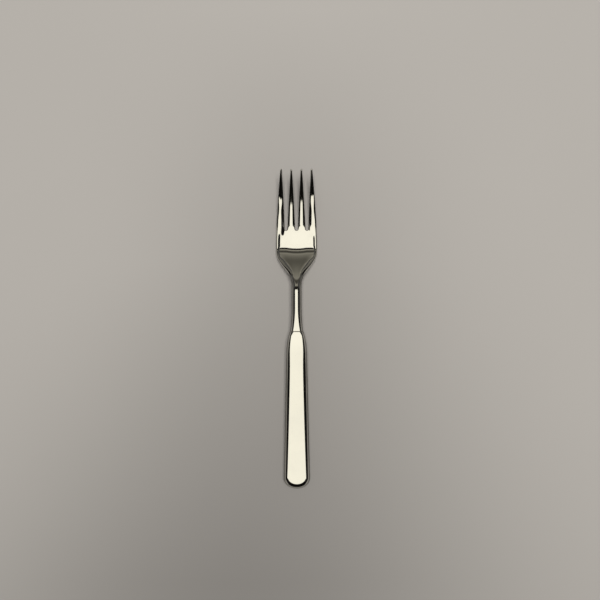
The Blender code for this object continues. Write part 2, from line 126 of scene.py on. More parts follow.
steelLook = {
    "colour": (0.720, 0.706, 0.660),
    "tint": (0.690, 0.678, 0.638),       # where the polish is a little duller
    "paintedShade": (0.150, 0.146, 0.133),       # painted shade: the sides darkened to stand in for the shadowed table they mirror
    "paintedShadeFrom": 0.40, "paintedShadeTo": 0.75, "paintedShadeScale": 300.0, "paintedShadeSpread": 0.1,
    "roughness": 0.045,
    "haze": 0.035, "hazeScale": 70.0, "hazeFrom": 0.38, "hazeTo": 0.72,
    "line": 0.02, "lineScale": 900.0, "lineStretch": (1.0, 0.05, 1.0), "lineHeight": 0.0000012,
    "scratch": 0.10, "scratchScale": 260.0, "scratchDepth": 0.8,
    # scratches in two directions: degrees from the buffing lines, stretch, noise level from and to
    "scratchWays": ((24.0, (1.0, 0.03, 1.0), 0.70, 0.76), (-37.0, (1.0, 0.04, 1.0), 0.71, 0.77)),
    "wear": 0.07, "wearFrom": 0.15, "wearTo": 0.9,
    "patchScale": 420.0, "patchFrom": 0.25, "patchTo": 0.65,
}


def polishedSteel(name, look, turn):
    material, g = newMaterial(name)
    place = g.add("ShaderNodeTexCoord", out="Object")
    wear = g.add("ShaderNodeAttribute", {"attribute_name": "wear"}, out="Fac")
    side = g.add("ShaderNodeAttribute", {"attribute_name": "side"}, out="Fac")

    # buffing lines along the piece, sparse hairline scratches across them, and handling haze
    lines = place.noise(look["lineScale"], detail=4.0, stretch=look["lineStretch"], turn=turn)
    ways = []
    for way, stretch, low, high in look["scratchWays"]:
        hairlines = place.noise(look["scratchScale"], detail=2.0, stretch=stretch, turn=turn + way)
        ways.append(hairlines.step(low, high))
    scratches = g.maths("MAXIMUM", *ways)
    haze = place.noise(look["hazeScale"], detail=4.0).step(look["hazeFrom"], look["hazeTo"])
    patches = place.noise(look["patchScale"]).step(look["patchFrom"], look["patchTo"])
    rubbed = (wear * patches).step(look["wearFrom"], look["wearTo"])
    # painted shade on the sides, carried by the side attribute, a little uneven
    uneven = side + place.noise(look["paintedShadeScale"]) * look["paintedShadeSpread"] - look["paintedShadeSpread"] / 2
    paintedShade = uneven.step(look["paintedShadeFrom"], look["paintedShadeTo"])

    rough = look["roughness"] + haze * look["haze"] + lines * look["line"]
    rough = rough + scratches * look["scratch"] + rubbed * look["wear"]
    colour = haze.blend(rgba(look["colour"]), rgba(look["tint"]))
    colour = paintedShade.blend(colour, rgba(look["paintedShade"]))

    relief = lines - scratches * look["scratchDepth"]
    inputs = {"Height": relief, "Strength": 1.0, "Distance": look["lineHeight"]}
    normal = g.add("ShaderNodeBump", {}, inputs)
    inputs = {"Base Color": colour, "Metallic": 1.0, "Roughness": rough, "Normal": normal}
    shader = g.add("ShaderNodeBsdfPrincipled", {}, inputs)
    g.add("ShaderNodeOutputMaterial", {}, {"Surface": shader})
    return material


# Braze: duller, a little pitted, darker in its hollows

brazeLook = {
    "seam": {"colour": (0.66, 0.64, 0.60), "dark": (0.42, 0.40, 0.37), "roughness": 0.24},
    "mouth": {"colour": (0.40, 0.38, 0.35), "dark": (0.16, 0.15, 0.13), "roughness": 0.38},
    "pitScale": 2600.0, "pitFrom": 0.45, "pitTo": 0.75, "pitRough": 0.2, "pitHeight": 0.000015,
    "flowScale": 500.0, "flowStretch": (1.0, 0.3, 1.0), "flowRough": 0.1,
}


def brazeMetal(name, look):
    material, g = newMaterial(name)
    place = g.add("ShaderNodeTexCoord", out="Object")
    pits = place.noise(brazeLook["pitScale"]).step(brazeLook["pitFrom"], brazeLook["pitTo"])
    flow = place.noise(brazeLook["flowScale"], detail=2.0, stretch=brazeLook["flowStretch"])
    colour = pits.blend(rgba(look["colour"]), rgba(look["dark"]))
    rough = look["roughness"] + pits * brazeLook["pitRough"] + flow * brazeLook["flowRough"]
    inputs = {"Height": flow - pits, "Strength": 1.0, "Distance": brazeLook["pitHeight"]}
    normal = g.add("ShaderNodeBump", {}, inputs)
    inputs = {"Base Color": colour, "Metallic": 1.0, "Roughness": rough, "Normal": normal}
    shader = g.add("ShaderNodeBsdfPrincipled", {}, inputs)
    g.add("ShaderNodeOutputMaterial", {}, {"Surface": shader})
    return material


# Cement inside the handle

cementLook = {
    "pale": (0.58, 0.56, 0.51),
    "dark": (0.40, 0.38, 0.34),
    "cloudScale": 160.0, "cloudFrom": 0.3, "cloudTo": 0.7, "cloudRough": 0.12,
    "grain": (0.30, 0.28, 0.25),
    "grainScale": 1900.0, "grainFrom": 0.62, "grainTo": 0.70,
    "grainHeight": 0.00006, "grainStrength": 0.8,
    "roughness": 0.82,
}


def cement(name, look):
    material, g = newMaterial(name)
    place = g.add("ShaderNodeTexCoord", out="Object")
    cloud = place.noise(look["cloudScale"], detail=5.0)
    sand = place.noise(look["grainScale"], detail=2.0)
    specks = sand.step(look["grainFrom"], look["grainTo"])
    clouded = cloud.step(look["cloudFrom"], look["cloudTo"])
    colour = clouded.blend(rgba(look["pale"]), rgba(look["dark"]))
    colour = specks.blend(colour, rgba(look["grain"]))
    relief = {"Height": sand + cloud, "Strength": look["grainStrength"], "Distance": look["grainHeight"]}
    normal = g.add("ShaderNodeBump", {}, relief)
    rough = look["roughness"] + cloud * look["cloudRough"]
    inputs = {"Base Color": colour, "Roughness": rough, "Normal": normal}
    shader = g.add("ShaderNodeBsdfPrincipled", {}, inputs)
    g.add("ShaderNodeOutputMaterial", {}, {"Surface": shader})
    return material


headSteel = polishedSteel("headSteel", steelLook, turn=0.0)
frontSteel = polishedSteel("frontShellSteel", steelLook, turn=3.0)
backSteel = polishedSteel("backShellSteel", steelLook, turn=-4.0)
seamMetal = brazeMetal("seamBraze", brazeLook["seam"])
mouthMetal = brazeMetal("mouthBraze", brazeLook["mouth"])
cementMix = cement("handleCement", cementLook)
print("materials: steel, braze and cement")


# Curves that the shapes share

def ease(t):
    t = min(max(t, 0.0), 1.0)
    return t * t * t * (t * (6 * t - 15) + 10)


def bend(y, start, length):
    # height along a line whose slope goes smoothly from 0 to 1
    t = min(max((y - start) / length, 0.0), 1.0)
    return length * t ** 3 * (1 - t / 2) + max(y - start - length, 0.0)


def tightBend(y, start, length):
    # the same, but fastest at the end
    t = min(max((y - start) / length, 0.0), 1.0)
    return length * t ** 3 / 3 + max(y - start - length, 0.0)


def mix(a, b, t):
    return a + (b - a) * t


# How the fork lies: shaped with the joint at y = 0 and the handle level, then laid on palm and butt
lying = {"tilt": radians(2.832792), "forward": -0.000060, "up": 0.007439}
tilted = Matrix.Rotation(lying["tilt"], 4, "X")
layDown = Matrix.Translation((0.0, lying["forward"], lying["up"])) @ tilted
creaseAngle = radians(38)                # edges that turn more than this stay sharp
quarterRound = 2.0                       # roundness of an edge: a quarter ellipse; 1 is a straight bevel


def finishPiece(name, bm, material, node):
    bmesh.ops.recalc_face_normals(bm, faces=bm.faces)
    mesh = bpy.data.meshes.new(name)
    bm.to_mesh(mesh)
    bm.free()
    mesh.transform(layDown)
    mesh.shade_smooth()
    mesh.set_sharp_from_angle(angle=creaseAngle)
    mesh.materials.append(material)
    piece = bpy.data.objects.new(name, mesh)
    scene.collection.objects.link(piece)
    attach(piece, "root")
    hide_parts(node)
    print(f"{name}: {len(mesh.polygons)} faces")


def addFace(bm, corners):
    corners = list(dict.fromkeys(corners))     # a corner that comes twice counts once
    if len(corners) > 2:
        bm.faces.new(corners)


def addSkin(bm, sheet, height, edgeSteps, wearAt,
            roundness=lambda y: quarterRound, sideShadeShare=lambda y: 1.0):
    # a face and its rounded edges; height(x, y, fall) has fall 1 on the face and 0 at the outline
    points, cells, chain = sheet
    layers = bm.verts.layers.float
    wear = layers.get("wear") or layers.new("wear")
    side = layers.get("side") or layers.new("side")
    verts = {}
    for key, (x, y) in points.items():
        verts[key] = bm.verts.new((x, y, height(x, y, 1.0)))
        verts[key][wear] = wearAt(x, y, 0.0)
    for cell in cells:
        addFace(bm, [verts[key] for key in cell])
    strips = []
    for key, outer in chain:
        inner = points[key]
        strip = [verts[key]]
        for n in range(1, edgeSteps + 1):
            angle = radians(90) * n / edgeSteps
            power = quarterRound / roundness(inner[1])
            out = sin(angle) ** power
            x = mix(inner[0], outer[0], out)
            y = mix(inner[1], outer[1], out)
            vert = bm.verts.new((x, y, height(x, y, max(cos(angle), 0.0) ** power)))
            vert[wear] = wearAt(x, y, n / edgeSteps)
            # side: how much painted shade this edge point gets, more towards the outline
            vert[side] = n / edgeSteps * sideShadeShare(y)
            strip.append(vert)
        strips.append(strip)
    for strip, after in zip(strips, strips[1:]):
        for n in range(edgeSteps):
            addFace(bm, (strip[n], strip[n + 1], after[n + 1], after[n]))
    return verts, strips


def sectionLoop(halfW, halfT, edge, steps):
    # flat faces and round sides, as x and height
    loop = []
    for side in (1, -1):
        for n in range(2 * steps + 1):
            angle = side * radians(90) * (1 - n / steps)
            loop.append((side * (halfW - edge + edge * cos(angle)), halfT * sin(angle)))
    return loop


def addLoop(bm, loop, y):
    return [bm.verts.new((x, y, z)) for x, z in loop]


def joinLoops(bm, loop, after):
    for n in range(len(loop)):
        addFace(bm, (loop[n - 1], loop[n], after[n], after[n - 1]))


# Head: tines, palm, shoulders, neck, bolster and the tang in the handle, all one forging

head = {
    # outline
    "width": 0.0224, "tipSpan": 0.0168, "tineLength": 0.0313, "tipWidth": 0.0009,
    "innerTine": 0.0041, "slotWidth": 0.0016, "palmLength": 0.0100, "shoulderLength": 0.0206,
    "neckLength": 0.0236, "neckWidth": 0.0053, "taperLead": 0.007, "taperPower": 1.4, "nose": 0.0008,
    # side profile
    "neckThick": 0.0042, "palmThick": 0.0021, "tipThick": 0.0008,
    "neckFall": tan(radians(22)), "shoulderFall": tan(radians(30)), "palmFall": tan(radians(2.3)),
    "neckBend": 0.010, "neckBendLead": 0.0045, "shoulderBend": 0.010,
    "palmBend": 0.0075, "palmBendLead": -0.00015, "palmBow": 0.0020, "bowMost": 0.23,
    "tineRadius": 0.070, "tineLead": 0.0074, "dish": 0.0009,
    # raised border: round the palm, low on the shoulders, and broad on the left and right outer tines
    "rimRise": 0.00009, "rimCrest": 0.0010, "rimWidth": 0.0013, "rimRun": 0.0015,
    "topCrest": 0.0006, "topRun": 0.0025, "topShare": 0.3,
    "lowRise": 0.00012, "lowCrest": 0.0020, "lowRun": 0.0068, "lowTurn": 0.0025, "lowGrip": 3.0,
    "innerRise": 0.00018, "innerWidth": 0.0040, "innerLead": 0.0034, "innerRun": 0.004,
    "broadRise": (0.00025, 0.0), "broadFrom": 0.0021, "broadWidth": 0.0029, "broadFade": 0.020,
    "broadTurn": 0.00475, "broadTurnLength": 0.0048,
    "backRest": 0.006, "backHollow": 0.0001, "backRun": 0.007,
    "tineLift": (0.00023, 0.00003, 0.00013, 0.00054),        # spring of each tine, from the left
    # rounded edges and bevels
    "shoulderRound": 0.0004, "lowRound": 0.0006, "lowRoundAt": 0.0072, "lowRoundRun": 0.0026,
    "waist": 0.0003, "waistAt": 0.0040, "waistRun": 0.0022,
    "edge": 0.0011, "neckEdge": 0.0023, "neckRound": 1.7, "slotEdge": 0.0004, "tineEdgeRun": 0.0026,
    "tineBevel": 1.35, "rootFlat": 0.0005, "tipFlat": 0.0012, "tineEdge": 0.0016,
    "innerEdge": 0.0008, "innerEdgeFrom": 0.25, "leastEdge": 0.28, "tineWall": 0.4, "wallRun": 0.005,
    "outerEdge": 0.0009, "outerSwell": 0.0003, "outerAt": 0.31, "outerRun": 0.18,
    # painted shade on the sides, and wear
    "sideShadeShare": 0.55, "sideLead": 0.0025, "sideRun": 0.008, "waistShade": 0.25, "waistShadeRun": 0.005,
    "edgeWear": 0.75, "tipWear": 0.15, "tipWearRun": 0.006,
    # bolster and tang
    "bolsterLength": 0.013, "bolsterWidth": 0.0069, "bolsterThick": 0.0044, "bolsterEdge": 0.0018,
    "tangLength": 0.030, "tangWidth": 0.0034, "tangThick": 0.0018, "tangEdge": 0.0004,
    "tangTaper": 0.0005, "jointGap": 0.00022,
    # fineness
    "edgeSteps": 9, "arcSteps": 12, "tinePlaces": 7, "tineSteps": 52, "palmRows": 84, "neckRows": 34,
    "tangSteps": 4, "weld": 1e-7,
}
shoulderStart = head["neckLength"]
palmStart = shoulderStart + head["shoulderLength"]
slotRoot = palmStart + head["palmLength"]
tineTip = slotRoot + head["tineLength"]
slotCentre = slotRoot + head["slotWidth"] / 2
tipPitch = (head["tipSpan"] - head["tipWidth"]) / 3


def shoulder(y):
    return ease((y - shoulderStart) / head["shoulderLength"])


def flare(y):
    return (1 - min(y / head["bolsterLength"], 1.0)) ** 2


def halfWidth(y):
    neck = mix(head["neckWidth"], head["bolsterWidth"], flare(y)) / 2
    taperStart = slotRoot - head["taperLead"]
    taper = max(y - taperStart, 0.0) / (tineTip - taperStart)
    palm = mix(head["width"], head["tipSpan"], taper ** head["taperPower"]) / 2
    return mix(neck, palm, shoulder(y))


def halfThick(y):
    neck = mix(head["neckThick"], head["bolsterThick"], flare(y)) / 2
    palm = mix(head["palmThick"], head["tipThick"], max(y - slotRoot, 0.0) / head["tineLength"]) / 2
    return mix(neck, palm, shoulder(y))


def hump(t):
    # 1 at 0, smoothly down to 0 at -1 and 1
    return max(1 - t * t, 0.0) ** 2


def headEdge(y):
    rise = shoulder(y)
    edge = mix(mix(head["neckEdge"], head["bolsterEdge"], flare(y)), head["edge"], rise)
    edge += head["lowRound"] * hump((y - shoulderStart - head["lowRoundAt"]) / head["lowRoundRun"])
    edge -= head["waist"] * hump((y - shoulderStart - head["waistAt"]) / head["waistRun"])
    return edge + (4 * rise * (1 - rise)) ** 2 * head["shoulderRound"]


def spine(y, bow):
    neckBend = shoulderStart - head["neckBendLead"]
    palmBend = palmStart - head["palmBendLead"] - head["palmBend"]
    z = -head["neckFall"] * bend(y, neckBend, head["neckBend"])
    steeper = head["shoulderFall"] - head["neckFall"]
    z -= steeper * bend(y, neckBend + head["neckBend"], head["shoulderBend"])
    z += (head["shoulderFall"] - head["palmFall"]) * tightBend(y - bow, palmBend, head["palmBend"])
    along = max(y - slotRoot + head["tineLead"], 0.0)
    return z + head["tineRadius"] - sqrt(head["tineRadius"] ** 2 - along ** 2)


def broadening(y):
    return ease((y - palmStart - head["broadTurn"]) / head["broadTurnLength"])


def border(x, y):
    # 1 on the raised border of shoulders and palm, 0 inside it; it broadens into the outer tines
    out = halfWidth(y) - abs(x)
    turned = ease((y - palmStart + head["lowRun"]) / head["lowTurn"])
    crest = mix(head["lowCrest"], head["topCrest"], turned)
    crest = mix(crest, head["rimCrest"], ease((y - palmStart) / head["topRun"] + head["topShare"]))
    narrow = ease(1 - (out - crest) / head["rimWidth"])
    broad = ease(1 - (out - head["broadFrom"]) / head["broadWidth"])
    return mix(narrow, broad, broadening(y))


def middle(x, y, palmBow):
    # inside the border the bend into the palm is bowed, which sinks the palm under the border
    side = shoulder(y) * (x / halfWidth(y)) ** 2
    bow = palmBow * min(side, head["bowMost"]) * (1 - border(x, y))
    z = spine(y, bow) + head["dish"] * side
    along = (y - slotRoot) / head["tineLength"]
    if along > 0:
        # each tine is sprung a little differently by its own polishing
        tine = sum(x > sum(slotEdges(slot, y)) / 2 for slot in (-1, 0, 1))
        z += head["tineLift"][tine] * sin(radians(360) * along) * sin(radians(180) * along) ** 2
    return z


def rim(x, y):
    # how much thicker the metal is towards the border
    rise = mix(head["lowRise"], head["rimRise"], ease((y - palmStart) / head["rimRun"] + 1))
    rise = mix(rise, head["broadRise"][x > 0], broadening(y))
    fade = 1 - ease((y - slotRoot) / head["broadFade"])
    # low on the shoulders the face inside curves up to it
    out = halfWidth(y) - abs(x) - head["lowCrest"]
    inner = min(max(1 - out / head["innerWidth"], 0.0), 1.0) ** 2
    inner *= 1 - ease((y - palmStart + head["lowRun"] + head["innerLead"]) / head["innerRun"])
    grip = min(head["lowGrip"] * shoulder(y), 1.0)
    return grip * (fade * rise * border(x, y) + head["innerRise"] * inner)


def tineStart(y):
    return ease((y - slotRoot + head["slotEdge"]) / head["tineEdgeRun"])


def outerSwelling(y):
    # low on the outer tines the outer bevel is broader and deeper
    along = (y - slotCentre) / head["tineLength"]
    return hump((along - head["outerAt"]) / head["outerRun"])


def wall(x, y):
    # the tines keep a little upright wall under their bevel, down to nothing at the tips
    upright = head["tineWall"] * tineStart(y) * ease((tineTip - y) / head["wallRun"])
    outer = y > slotCentre and abs(x) > sum(tineEdges(3, y)) / 2
    return upright * (1 - outerSwelling(y)) if outer else upright


def backHollow(x, y):
    # the back is a hair hollow along its middle, so that the fork lies steady
    near = 1 - ease(abs(y - palmStart) / head["backRun"])
    return head["backHollow"] * near * max(1 - (2 * x / head["backRest"]) ** 2, 0.0)


def upperFace(x, y, fall):
    return middle(x, y, head["palmBow"]) + (halfThick(y) + rim(x, y)) * mix(fall, 1.0, wall(x, y))


def lowerFace(x, y, fall):
    return middle(x, y, 0.0) - (halfThick(y) - backHollow(x, y)) * mix(fall, 1.0, wall(x, y))


def headWear(x, y, out):
    # edges and the ends of the tines are rubbed most
    tip = ease((y - tineTip + head["tipWearRun"]) / head["tipWearRun"])
    return head["edgeWear"] * out * out + head["tipWear"] * tip


def headSideShade(y):
    # how much painted shade the sides get: less on the sides of shoulders and palm, more at the waist
    reached = ease((y - shoulderStart - head["sideLead"]) / head["sideRun"])
    reached *= ease((slotRoot - y) / head["sideRun"] + 1)
    paintedShade = head["waistShade"] * hump((y - shoulderStart - head["waistAt"]) / head["waistShadeRun"])
    return mix(1.0, head["sideShadeShare"], reached) + paintedShade


def headRoundness(y):
    return mix(mix(head["neckRound"], quarterRound, shoulder(y)), head["tineBevel"], tineStart(y))


def slotEdges(slot, y):
    t = (y - slotCentre) / (tineTip - slotCentre)
    centre = slot * mix(head["slotWidth"] + head["innerTine"], tipPitch, t)
    half = mix(head["slotWidth"], tipPitch - head["tipWidth"], t) / 2
    return centre - half, centre + half


def slotArc(slot, radius):
    centre = sum(slotEdges(slot, slotCentre)) / 2
    angles = [radians(180) * (1 + n / head["arcSteps"]) for n in range(1, head["arcSteps"])]
    return [(centre + radius * cos(a), slotCentre + radius * sin(a)) for a in angles]


def tineEdges(tine, y):
    left = -halfWidth(y) if tine == 0 else slotEdges(tine - 2, y)[1]
    right = halfWidth(y) if tine == 3 else slotEdges(tine - 1, y)[0]
    return left, right


def tineFace(tine, y):
    # a narrow flat along the tine, with bevels beside it that start at the slot's root
    left, right = tineEdges(tine, y)
    width = right - left
    start = ease((y - slotCentre) / head["tineEdgeRun"])
    along = (y - slotCentre) / head["tineLength"]
    bevels = width - mix(head["rootFlat"], head["tipFlat"], along)
    least = head["leastEdge"] * width
    if tine in (0, 3):
        outside = head["outerEdge"] + head["outerSwell"] * outerSwelling(y)
        bevel = mix(head["tineEdge"], head["innerEdge"], ease(along / head["innerEdgeFrom"] - 1))
        rootEdge = head["edge"]
    else:
        outside = bevels / 2
        bevel = head["tineEdge"]
        rootEdge = head["slotEdge"]
    inside = max(min(bevels - outside, bevel), least)
    outside = max(min(outside, bevels - least), least)
    inside = mix(head["slotEdge"], inside, start)
    outside = mix(rootEdge, outside, start)
    left += outside if tine == 0 else inside
    right -= outside if tine == 3 else inside
    last = head["tinePlaces"] - 1
    return [mix(left, right, place / last) for place in range(last + 1)]


def headSheet():
    points, cells, chain = {}, [], []
    places, tineSteps = head["tinePlaces"], head["tineSteps"]

    # row across the slot roots
    rootRow = []
    for tine in range(4):
        for place, x in enumerate(tineFace(tine, slotCentre)):
            rootRow.append(("tine", tine, place, 0))
            points[rootRow[-1]] = (x, slotCentre)
        if tine < 3:
            for n, point in enumerate(slotArc(tine - 1, head["slotWidth"] / 2 + head["slotEdge"])):
                rootRow.append(("arc", tine, n))
                points[rootRow[-1]] = point

    # palm, shoulders and neck, down to the joint
    neckTop = shoulderStart - head["neckBendLead"]
    palmTop = slotRoot - 2 * head["slotEdge"]
    palmRows, neckRows = head["palmRows"], head["neckRows"]
    rowHeights = [mix(palmTop, neckTop, n / palmRows) for n in range(palmRows)]
    rowHeights += [mix(neckTop, head["jointGap"], n / neckRows) for n in range(neckRows + 1)]
    reach = points[rootRow[-1]][0]
    rows = [rootRow]
    for n, y in enumerate(rowHeights):
        flat = halfWidth(y) - headEdge(y)
        row = []
        for column, key in enumerate(rootRow):
            row.append(("row", n, column))
            points[row[-1]] = (points[key][0] / reach * flat, y)
        rows.append(row)
    for upper, lower in zip(rows, rows[1:]):
        for n in range(len(rootRow) - 1):
            cells.append((upper[n], upper[n + 1], lower[n + 1], lower[n]))

    # tines, and the border up the left side, round every tine and down the right side
    chain += [(row[0], (-halfWidth(y), y)) for row, y in reversed(list(zip(rows[1:], rowHeights)))]
    noseStart = tineTip - head["nose"]
    heights = [mix(slotCentre, noseStart, n / tineSteps) for n in range(tineSteps + 1)]
    for tine in range(4):
        leftSide, rightSide, nose = [], [], []
        for n, y in enumerate(heights):
            left, right = tineEdges(tine, y)
            for place, x in enumerate(tineFace(tine, y)):
                points["tine", tine, place, n] = (x, y)
            leftSide.append((("tine", tine, 0, n), (left, y)))
            rightSide.append((("tine", tine, places - 1, n), (right, y)))
        for n in range(tineSteps):
            for place in range(places - 1):
                corners = ((place, n), (place + 1, n), (place + 1, n + 1), (place, n + 1))
                cells.append([("tine", tine, *corner) for corner in corners])
        for place in range(places):
            angle = radians(180) * (1 - (place + 1) / (places + 1))
            x = mix(left, right, (1 + cos(angle)) / 2)
            nose.append((("tine", tine, place, tineSteps), (x, noseStart + head["nose"] * sin(angle))))
        chain += leftSide + nose + rightSide[::-1]
        if tine < 3:
            chain += [(("arc", tine, n), p) for n, p in enumerate(slotArc(tine - 1, head["slotWidth"] / 2))]
    chain += [(row[-1], (halfWidth(y), y)) for row, y in zip(rows[1:], rowHeights)]
    return points, cells, chain


def makeHead():
    bm = bmesh.new()
    sheet = headSheet()
    top = addSkin(bm, sheet, upperFace, head["edgeSteps"], headWear, headRoundness, headSideShade)[1]
    under = addSkin(bm, sheet, lowerFace, head["edgeSteps"], headWear, headRoundness, headSideShade)[1]
    for n in range(len(top) - 1):
        addFace(bm, (top[n][-1], top[n + 1][-1], under[n + 1][-1], under[n][-1]))
    bmesh.ops.remove_doubles(bm, verts=bm.verts, dist=head["weld"])
    openEnd = [edge for edge in bm.edges if edge.is_boundary]
    taper, rounding, steps = head["tangTaper"], head["tangEdge"], head["tangSteps"]
    root = sectionLoop(head["tangWidth"] / 2, head["tangThick"] / 2, rounding, steps)
    end = sectionLoop(head["tangWidth"] / 2 - taper, (head["tangThick"] - taper) / 2, rounding, steps)
    rootLoop = addLoop(bm, root, head["jointGap"])
    endLoop = addLoop(bm, end, -head["tangLength"])
    joinLoops(bm, rootLoop, endLoop)
    bm.faces.new(endLoop)
    rootEdges = [edge for edge in bm.edges if edge.is_boundary and edge not in openEnd]
    bmesh.ops.bridge_loops(bm, edges=openEnd + rootEdges)
    finishPiece("forkHead", bm, headSteel, "fork_head")


makeHead()


# Handle: two stamped half shells, brazed round their edge and over the tang

handle = {
    "length": 0.0853, "mouthWidth": 0.0073, "mouthThick": 0.0048, "rootWidth": 0.0105,
    "rootThick": 0.0058, "buttWidth": 0.0142, "buttThick": 0.0068, "buttLength": 0.0055,
    "swellLength": 0.012, "rootEdge": 0.0015, "cornerEdge": 0.0008, "cornerLength": 0.0028,
    "edge": 0.0031, "edgeSwell": 0.026, "buttEdge": 0.0024, "buttRound": 0.0033, "buttLead": 0.0014,
    "wall": 0.0008, "jointGap": 0.00022, "rim": 0.00019, "rimRound": 0.00008,
    "edgeWear": 0.55, "buttWear": 0.3, "buttWearRun": 0.012,
    # fineness; the rows lie closer together towards the mouth
    "edgeSteps": 12, "acrossSteps": 20, "mouthRows": 22, "mouthPower": 1.5,
    "taperRows": 30, "endRows": 7,
}


def swell(along):
    return (1 - min(along / handle["swellLength"], 1.0)) ** 2


def handleHalfWidth(along):
    taper = mix(handle["rootWidth"], handle["buttWidth"], along / (handle["length"] - handle["buttLength"]))
    return (taper - (handle["rootWidth"] - handle["mouthWidth"]) * swell(along)) / 2


def handleHalfThick(along):
    taper = mix(handle["rootThick"], handle["buttThick"], along / handle["length"])
    return (taper - (handle["rootThick"] - handle["mouthThick"]) * swell(along)) / 2


def handleEdge(along):
    if along > handle["edgeSwell"]:
        past = (along - handle["edgeSwell"]) / (handle["length"] - handle["edgeSwell"])
        return mix(handle["edge"], handle["buttEdge"], past ** 2)
    corner = handle["cornerEdge"] * (1 - min(along / handle["cornerLength"], 1.0)) ** 2
    return corner + mix(handle["edge"], handle["rootEdge"], (1 - along / handle["edgeSwell"]) ** 2)


endStart = handle["length"] - handle["buttLength"]
faceEnd = endStart - handle["buttLead"]                                  # where the face starts to close
faceReach = handle["buttLead"] + handle["buttLength"] - handle["buttRound"]


def faceHalf(along):
    closing = max(along - faceEnd, 0.0) / faceReach
    return (handleHalfWidth(along) - handleEdge(along)) * sqrt(1 - closing ** 2)


def handleSheet(inset):
    points, cells, chain = {}, [], []
    across = handle["acrossSteps"]
    shares = [2 * n / across - 1 for n in range(across + 1)]

    start, shoulderEnd = handle["jointGap"], handle["swellLength"]
    mouthRows, taperRows = handle["mouthRows"], handle["taperRows"]
    power = handle["mouthPower"]
    stations = [mix(start, shoulderEnd, (n / mouthRows) ** power) for n in range(mouthRows)]
    stations += [mix(shoulderEnd, faceEnd, n / taperRows) for n in range(taperRows)]
    stations += [mix(faceEnd, endStart, n / handle["endRows"]) for n in range(handle["endRows"] + 1)]
    rows = []
    for s, along in enumerate(stations):
        flat = faceHalf(along)
        row = []
        for n, share in enumerate(shares):
            row.append(("face", s, n))
            points[row[-1]] = (share * flat, -along)
        rows.append(row)

    # the butt's rows bulge from a straight line to the end of an ellipse
    flat = faceHalf(endStart)
    widest = acos(handle["buttLead"] / faceReach)
    lastRow = rows[-1]
    for d in range(1, handle["endRows"] + 1):
        depth = d / handle["endRows"]
        row = [lastRow[0]]
        for n, share in enumerate(shares[1:-1], start=1):
            angle = widest * share
            row.append(("end", d, n))
            x = flat * mix(share, sin(angle) / sin(widest), depth)
            points[row[-1]] = (x, -mix(endStart, faceEnd + faceReach * cos(angle), depth))
        rows.append(row + [lastRow[-1]])
    for upper, lower in zip(rows, rows[1:]):
        for n in range(across):
            cells.append((upper[n], upper[n + 1], lower[n + 1], lower[n]))

    sides = [(handleHalfWidth(along) - inset, -along) for along in stations]
    chain += [(row[0], (-x, y)) for row, (x, y) in zip(rows, sides)]
    for n, share in enumerate(shares[1:-1], start=1):
        angle = radians(90) * share
        x = (handleHalfWidth(endStart) - inset) * sin(angle)
        chain.append((rows[-1][n], (x, -endStart - (handle["buttLength"] - inset) * cos(angle))))
    chain += [(row[-1], side) for row, side in reversed(list(zip(rows, sides)))]
    return (points, cells, chain), rows[0]


def handleWear(x, y, out):
    # the butt and the sides where it is held
    butt = ease((-y - handle["length"] + handle["buttWearRun"]) / handle["buttWearRun"])
    return handle["edgeWear"] * out * out + handle["buttWear"] * butt


def makeShell(name, side, material, node):
    bm = bmesh.new()
    skins = []
    for inset in (0.0, handle["wall"]):
        def height(x, y, fall):
            return side * mix(handle["rim"], handleHalfThick(-y) - inset, fall)

        sheet, mouthRow = handleSheet(inset)
        verts, strips = addSkin(bm, sheet, height, handle["edgeSteps"], handleWear)
        edge = [strip[-1] for strip in strips]
        mouth = strips[-1][::-1] + [verts[key] for key in mouthRow[-2:0:-1]] + strips[0]
        skins.append((edge, mouth))
    (outerEdge, outerMouth), (innerEdge, innerMouth) = skins

    # the outside edge is broken a little, so that the seam shows as a hairline
    broken = []
    for outer, inner in zip(outerEdge, innerEdge):
        share = handle["rimRound"] / handle["wall"]
        x, y = mix(outer.co.x, inner.co.x, share), mix(outer.co.y, inner.co.y, share)
        broken.append(bm.verts.new((x, y, outer.co.z - side * handle["rimRound"])))
    lip = [bm.verts.new((v.co.x, v.co.y, v.co.z - side * handle["rimRound"])) for v in innerEdge]
    rings = (outerEdge, broken, lip, innerEdge)
    for ring, after in zip(rings, rings[1:]):
        for n in range(len(ring) - 1):
            addFace(bm, (ring[n], ring[n + 1], after[n + 1], after[n]))
    for n in range(len(outerMouth) - 1):
        addFace(bm, (outerMouth[n], outerMouth[n + 1], innerMouth[n + 1], innerMouth[n]))
    for n in (0, -1):
        addFace(bm, (outerEdge[n], broken[n], lip[n], innerEdge[n]))
    finishPiece(name, bm, material, node)


makeShell("handleFrontShell", 1, frontSteel, "handle_front_shell")
makeShell("handleBackShell", -1, backSteel, "handle_back_shell")


# Braze: a hairline between the shells and a fine ring under the lip at the joint

braze = {
    "thick": 0.00019, "recess": 0.00004, "crown": 0.00003,
    "ringThick": 0.00042, "ringRecess": 0.00022, "ringHollow": 0.00006, "ringSteps": 10,
}


def makeSeamBraze():
    bm = bmesh.new()
    half, crown = braze["thick"] / 2, braze["crown"]
    outer = [point for key, point in handleSheet(braze["recess"])[0][2]]
    bulge = [point for key, point in handleSheet(braze["recess"] - crown)[0][2]]
    inner = [point for key, point in handleSheet(handle["wall"])[0][2]]
    loops = []
    for (ox, oy), (bx, by), (ix, iy) in zip(outer, bulge, inner):
        section = ((ox, oy, half), (bx, by, half / 2), (bx, by, -half / 2), (ox, oy, -half))
        section += ((ix, iy, -half), (ix, iy, half))
        loops.append([bm.verts.new(corner) for corner in section])
    for loop, after in zip(loops, loops[1:]):
        joinLoops(bm, loop, after)
    bm.faces.new(loops[0])
    bm.faces.new(loops[-1])
    finishPiece("seamBraze", bm, seamMetal, "seam_braze")


